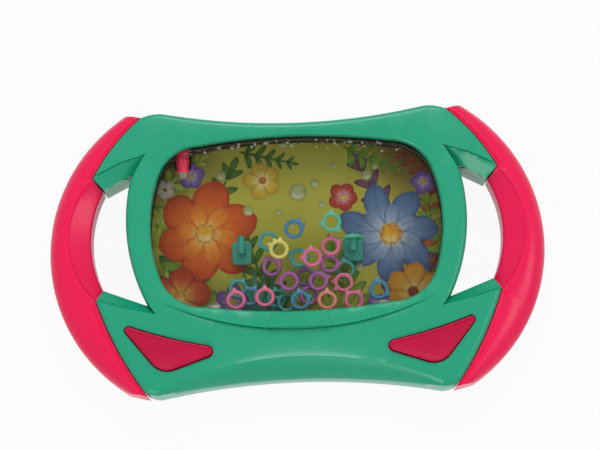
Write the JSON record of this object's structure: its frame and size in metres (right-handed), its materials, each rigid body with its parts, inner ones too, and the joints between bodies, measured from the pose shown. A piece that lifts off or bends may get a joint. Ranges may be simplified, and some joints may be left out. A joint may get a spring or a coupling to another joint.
{
  "type": "handheld water game",
  "caption": "Handheld water ring-toss toy with two palm grips, a clear water tank behind a rounded window, thumb buttons with pumps, and loose rings to land on pegs.",
  "frame": {"origin": "centre of the rear face's footprint, on the plane that the game lies on", "axes": "+X to the player's right along the longest extent, +Y up the picture, +Z out of the window along the shortest extent"},
  "size_m": [0.2234, 0.1293, 0.0274],
  "materials": {
    "casing": "moulded, soft gloss",
    "grip": "moulded, soft gloss",
    "button": "moulded, soft gloss",
    "clear_tank": "clear moulded polystyrene",
    "seal": "soft, matt",
    "backdrop": "printed card",
    "bellows": "soft, matt",
    "jet_tube": "natural polythene",
    "peg": "translucent",
    "screw": "zinc plated",
    "ring_mint": "moulded, soft gloss",
    "ring_blue": "moulded, soft gloss",
    "ring_teal": "moulded, soft gloss",
    "ring_yellow": "moulded, soft gloss",
    "ring_pink": "moulded, soft gloss",
    "ring_purple": "moulded, soft gloss",
    "ring_violet": "moulded, soft gloss",
    "ring_coral": "moulded, soft gloss"
  },
  "bodies": {
    "casing": {"front_housing": "casing", "rear_housing": "casing", "tank_front": "clear_tank", "tank_back": "clear_tank", "tank_seal": "seal", "backdrop_card": "backdrop", "right_grip_front": "grip", "right_grip_rear": "grip", "right_bellows": "bellows", "right_jet_tube": "jet_tube", "right_peg": "peg", "right_grip_screw_1": "screw", "right_grip_screw_2": "screw", "left_grip_front": "grip", "left_grip_rear": "grip", "left_bellows": "bellows", "left_jet_tube": "jet_tube", "left_peg": "peg", "left_grip_screw_1": "screw", "left_grip_screw_2": "screw", "casing_screw_1": "screw", "casing_screw_2": "screw", "casing_screw_3": "screw", "casing_screw_4": "screw", "casing_screw_5": "screw", "casing_screw_6": "screw"},
    "fill_plug": {"fill_plug": "button"},
    "right_button": {"right_button": "button"},
    "left_button": {"left_button": "button"},
    "ring_01": {"ring_01": "ring_mint"},
    "ring_02": {"ring_02": "ring_blue"},
    "ring_03": {"ring_03": "ring_teal"},
    "ring_04": {"ring_04": "ring_yellow"},
    "ring_05": {"ring_05": "ring_pink"},
    "ring_06": {"ring_06": "ring_teal"},
    "ring_07": {"ring_07": "ring_pink"},
    "ring_08": {"ring_08": "ring_purple"},
    "ring_09": {"ring_09": "ring_purple"},
    "ring_10": {"ring_10": "ring_teal"},
    "ring_11": {"ring_11": "ring_purple"},
    "ring_12": {"ring_12": "ring_purple"},
    "ring_13": {"ring_13": "ring_violet"},
    "ring_14": {"ring_14": "ring_pink"},
    "ring_15": {"ring_15": "ring_teal"},
    "ring_16": {"ring_16": "ring_pink"},
    "ring_17": {"ring_17": "ring_blue"},
    "ring_18": {"ring_18": "ring_pink"},
    "ring_19": {"ring_19": "ring_teal"},
    "ring_20": {"ring_20": "ring_blue"},
    "ring_21": {"ring_21": "ring_teal"},
    "ring_22": {"ring_22": "ring_purple"},
    "ring_23": {"ring_23": "ring_coral"},
    "ring_24": {"ring_24": "ring_pink"},
    "ring_25": {"ring_25": "ring_blue"},
    "ring_26": {"ring_26": "ring_mint"}
  },
  "joints": [
    {"name": "right_button_press", "type": "slide", "parent": "casing", "child": "right_button", "axis": [0, 0, -1], "range_m": [0, 0.0035], "stiffness_N_per_m": 250, "deforming": ["right_bellows"]},
    {"name": "left_button_press", "type": "slide", "parent": "casing", "child": "left_button", "axis": [0, 0, -1], "range_m": [0, 0.0035], "stiffness_N_per_m": 250, "deforming": ["left_bellows"]},
    {"name": "fill_plug_pull", "type": "slide", "parent": "casing", "child": "fill_plug", "axis": [0, 1, 0], "range_m": [0, 0.026]},
    {"name": "ring_01_rise", "type": "slide", "parent": "casing", "child": "ring_01", "axis": [0, 1, 0], "range_m": [0, 0.032]},
    {"name": "ring_02_rise", "type": "slide", "parent": "casing", "child": "ring_02", "axis": [0, 1, 0], "range_m": [0, 0.036]},
    {"name": "ring_03_rise", "type": "slide", "parent": "casing", "child": "ring_03", "axis": [0, 1, 0], "range_m": [0, 0.041]},
    {"name": "ring_04_rise", "type": "slide", "parent": "casing", "child": "ring_04", "axis": [0, 1, 0], "range_m": [0, 0.0025]},
    {"name": "ring_05_rise", "type": "slide", "parent": "casing", "child": "ring_05", "axis": [0, 1, 0], "range_m": [0, 0.043]},
    {"name": "ring_06_rise", "type": "slide", "parent": "casing", "child": "ring_06", "axis": [0, 1, 0], "range_m": [0, 0.049]},
    {"name": "ring_07_rise", "type": "slide", "parent": "casing", "child": "ring_07", "axis": [0, 1, 0], "range_m": [0, 0.0075]},
    {"name": "ring_08_rise", "type": "slide", "parent": "casing", "child": "ring_08", "axis": [0, 1, 0], "range_m": [0, 0.052]},
    {"name": "ring_09_rise", "type": "slide", "parent": "casing", "child": "ring_09", "axis": [0, 1, 0], "range_m": [0, 0.052]},
    {"name": "ring_10_rise", "type": "slide", "parent": "casing", "child": "ring_10", "axis": [0, 1, 0], "range_m": [0, 0.004]},
    {"name": "ring_11_rise", "type": "slide", "parent": "casing", "child": "ring_11", "axis": [0, 1, 0], "range_m": [0, 0.015]},
    {"name": "ring_12_rise", "type": "slide", "parent": "casing", "child": "ring_12", "axis": [0, 1, 0], "range_m": [0, 0.008]},
    {"name": "ring_13_rise", "type": "slide", "parent": "casing", "child": "ring_13", "axis": [0, 1, 0], "range_m": [0, 0.056]},
    {"name": "ring_14_rise", "type": "slide", "parent": "casing", "child": "ring_14", "axis": [0, 1, 0], "range_m": [0, 0.0015]},
    {"name": "ring_15_rise", "type": "slide", "parent": "casing", "child": "ring_15", "axis": [0, 1, 0], "range_m": [0, 0.0095]},
    {"name": "ring_16_rise", "type": "slide", "parent": "casing", "child": "ring_16", "axis": [0, 1, 0], "range_m": [0, 0.058]},
    {"name": "ring_17_rise", "type": "slide", "parent": "casing", "child": "ring_17", "axis": [0, 1, 0], "range_m": [0, 0.013]},
    {"name": "ring_18_rise", "type": "slide", "parent": "casing", "child": "ring_18", "axis": [0, 1, 0], "range_m": [0, 0.015]},
    {"name": "ring_19_rise", "type": "slide", "parent": "casing", "child": "ring_19", "axis": [0, 1, 0], "range_m": [0, 0.058]},
    {"name": "ring_20_rise", "type": "slide", "parent": "casing", "child": "ring_20", "axis": [0, 1, 0], "range_m": [0, 0.0115]},
    {"name": "ring_21_rise", "type": "slide", "parent": "casing", "child": "ring_21", "axis": [0, 1, 0], "range_m": [0, 0.008]},
    {"name": "ring_22_rise", "type": "slide", "parent": "casing", "child": "ring_22", "axis": [0, 1, 0], "range_m": [0, 0.008]},
    {"name": "ring_23_rise", "type": "slide", "parent": "casing", "child": "ring_23", "axis": [0, 1, 0], "range_m": [0, 0.012]},
    {"name": "ring_24_rise", "type": "slide", "parent": "casing", "child": "ring_24", "axis": [0, 1, 0], "range_m": [0, 0.0165]},
    {"name": "ring_25_rise", "type": "slide", "parent": "casing", "child": "ring_25", "axis": [0, 1, 0], "range_m": [0, 0.058]},
    {"name": "ring_26_rise", "type": "slide", "parent": "casing", "child": "ring_26", "axis": [0, 1, 0], "range_m": [0, 0.04]}
  ]
}
